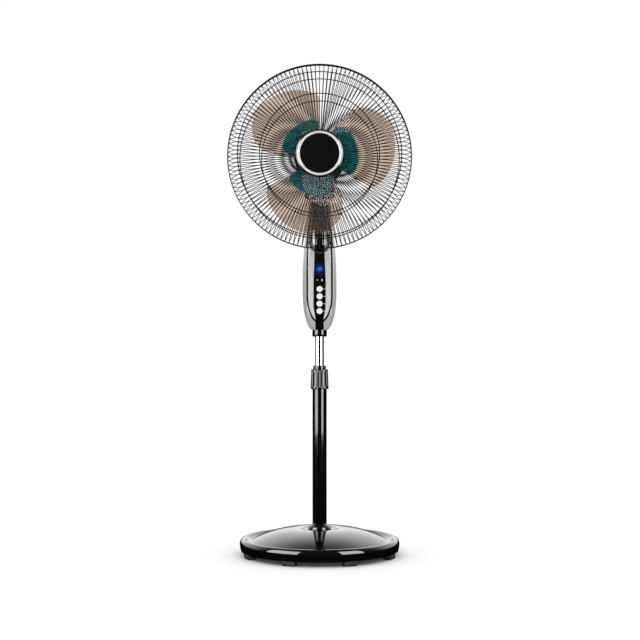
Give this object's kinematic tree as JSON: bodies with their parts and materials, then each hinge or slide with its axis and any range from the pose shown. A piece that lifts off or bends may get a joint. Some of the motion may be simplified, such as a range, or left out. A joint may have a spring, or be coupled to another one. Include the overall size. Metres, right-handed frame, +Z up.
{
  "type": "pedestal fan",
  "caption": "Floor-standing pedestal fan with round base, height-adjustable column, push-button control housing, tilting neck and oscillating head with guarded three-blade rotor.",
  "frame": {"origin": "on the floor, on the axis of the column, under the middle of the round base", "axes": "+Z up along the column, -Y toward the front of the guard, +X to the right of a viewer in front"},
  "size_m": [0.4419, 0.394, 1.191],
  "materials": {
    "gloss_black": "gloss",
    "black_paint": "gloss",
    "rubber": "matte",
    "dark_plastic": "satin",
    "steel": "satin",
    "cast_aluminium": "satin",
    "chrome_tube": "polished",
    "silver_plastic": "metallic gloss",
    "bright_plastic": "metallic gloss",
    "badge_silver": "matte",
    "blue_lens": "lit lens",
    "white_plastic": "satin",
    "board": "satin",
    "copper": "lacquered",
    "smoke_plastic": "translucent gloss",
    "teal_plastic": "translucent gloss"
  },
  "bodies": {
    "base": {"base_cover": "gloss_black", "base_weight": "steel", "base_plate": "dark_plastic", "feet": "rubber", "foot_screws": "steel", "pole_socket": "steel", "pole_bolt": "steel", "pole_knuckle": "gloss_black", "outer_tube": "black_paint", "tube_bush": "dark_plastic", "collar_ring": "gloss_black"},
    "collar": {"lock_collar": "gloss_black"},
    "column": {"inner_tube": "chrome_tube", "housing_collar": "gloss_black", "tube_socket": "dark_plastic", "rear_shell": "silver_plastic", "front_shell": "silver_plastic", "face_panel": "bright_plastic", "trim_line": "gloss_black", "control_strip": "gloss_black", "light_window": "blue_lens", "control_board": "board", "housing_screws": "steel", "cord_gland": "gloss_black", "tilt_bracket": "steel", "tilt_bolt": "steel", "tilt_nut": "steel"},
    "button_1": {"button_1": "white_plastic"},
    "button_2": {"button_2": "white_plastic"},
    "button_3": {"button_3": "white_plastic"},
    "button_4": {"button_4": "white_plastic"},
    "neck": {"neck": "gloss_black", "neck_strip": "gloss_black", "swivel_post": "steel"},
    "head": {"motor_front_cover": "dark_plastic", "motor_rear_cover": "dark_plastic", "motor_front_bracket": "cast_aluminium", "motor_rear_bracket": "cast_aluminium", "stator": "steel", "windings": "copper", "bearings": "steel", "swivel_bracket": "cast_aluminium", "gearbox_case": "dark_plastic", "guard_nut": "gloss_black", "rear_guard": "black_paint", "front_guard": "black_paint", "rim_ring": "black_paint", "badge_holder": "gloss_black", "badge_ring": "badge_silver", "badge_cap": "gloss_black"},
    "rotor": {"motor_shaft": "steel", "rotor_core": "steel", "blade_rotor": "smoke_plastic", "inner_rotor": "teal_plastic", "blade_nut": "gloss_black"},
    "worm_wheel": {"worm_wheel": "white_plastic"},
    "clutch": {"clutch_shaft": "steel"},
    "crank": {"crank_gear": "white_plastic"},
    "link": {"crank_link": "steel"},
    "knob": {"oscillation_knob": "gloss_black"}
  },
  "joints": [
    {"name": "lock_collar_turn", "type": "hinge", "parent": "base", "child": "collar", "pos_m": [0, 0, 0.43], "axis": [0, 0, 1], "range_deg": [0, 90]},
    {"name": "height_slide", "type": "slide", "parent": "base", "child": "column", "axis": [0, 0, 1], "range_m": [-0.065, 0.2]},
    {"name": "neck_tilt", "type": "hinge", "parent": "column", "child": "neck", "pos_m": [0, 0, 0.769], "axis": [-1, 0, 0], "range_deg": [-10, 25]},
    {"name": "head_swing", "type": "hinge", "parent": "neck", "child": "head", "pos_m": [0, 0, 0.88], "axis": [0, 0, 1], "range_deg": [-40, 40]},
    {"name": "blade_spin", "type": "hinge", "parent": "head", "child": "rotor", "pos_m": [0, -0.113, 0.97], "axis": [0, 1, 0], "continuous": true},
    {"name": "worm_wheel_spin", "type": "hinge", "parent": "head", "child": "worm_wheel", "pos_m": [-0.0146, 0.0199, 0.97], "axis": [0, 0, 1], "continuous": true},
    {"name": "clutch_turn", "type": "hinge", "parent": "head", "child": "clutch", "pos_m": [-0.0146, 0.0199, 0.95], "axis": [0, 0, 1], "range_deg": [-120, 120]},
    {"name": "crank_turn", "type": "hinge", "parent": "head", "child": "crank", "pos_m": [0, 0.034, 0.905], "axis": [0, 0, 1], "range_deg": [-40, 40]},
    {"name": "link_turn", "type": "hinge", "parent": "crank", "child": "link", "pos_m": [0.012, 0.034, 0.8985], "axis": [0, 0, 1], "range_deg": [-40, 40]},
    {"name": "knob_slide", "type": "slide", "parent": "head", "child": "knob", "axis": [0, 0, 1], "range_m": [0, 0.008]},
    {"name": "button_1_press", "type": "slide", "parent": "column", "child": "button_1", "axis": [0, 1, 0], "range_m": [0, 0.0015], "stiffness_N_per_m": 700, "springref_m": -0.0003},
    {"name": "button_2_press", "type": "slide", "parent": "column", "child": "button_2", "axis": [0, 1, 0], "range_m": [0, 0.0015], "stiffness_N_per_m": 700, "springref_m": -0.0003},
    {"name": "button_3_press", "type": "slide", "parent": "column", "child": "button_3", "axis": [0, 1, 0], "range_m": [0, 0.0015], "stiffness_N_per_m": 700, "springref_m": -0.0003},
    {"name": "button_4_press", "type": "slide", "parent": "column", "child": "button_4", "axis": [0, 1, 0], "range_m": [0, 0.0015], "stiffness_N_per_m": 700, "springref_m": -0.0003}
  ],
  "couplings": [
    {"joint": "worm_wheel_spin", "follows": "blade_spin", "ratio": -0.041667},
    {"joint": "clutch_turn", "follows": "head_swing", "ratio": 3},
    {"joint": "crank_turn", "follows": "head_swing", "ratio": -1},
    {"joint": "link_turn", "follows": "head_swing", "ratio": 1}
  ]
}
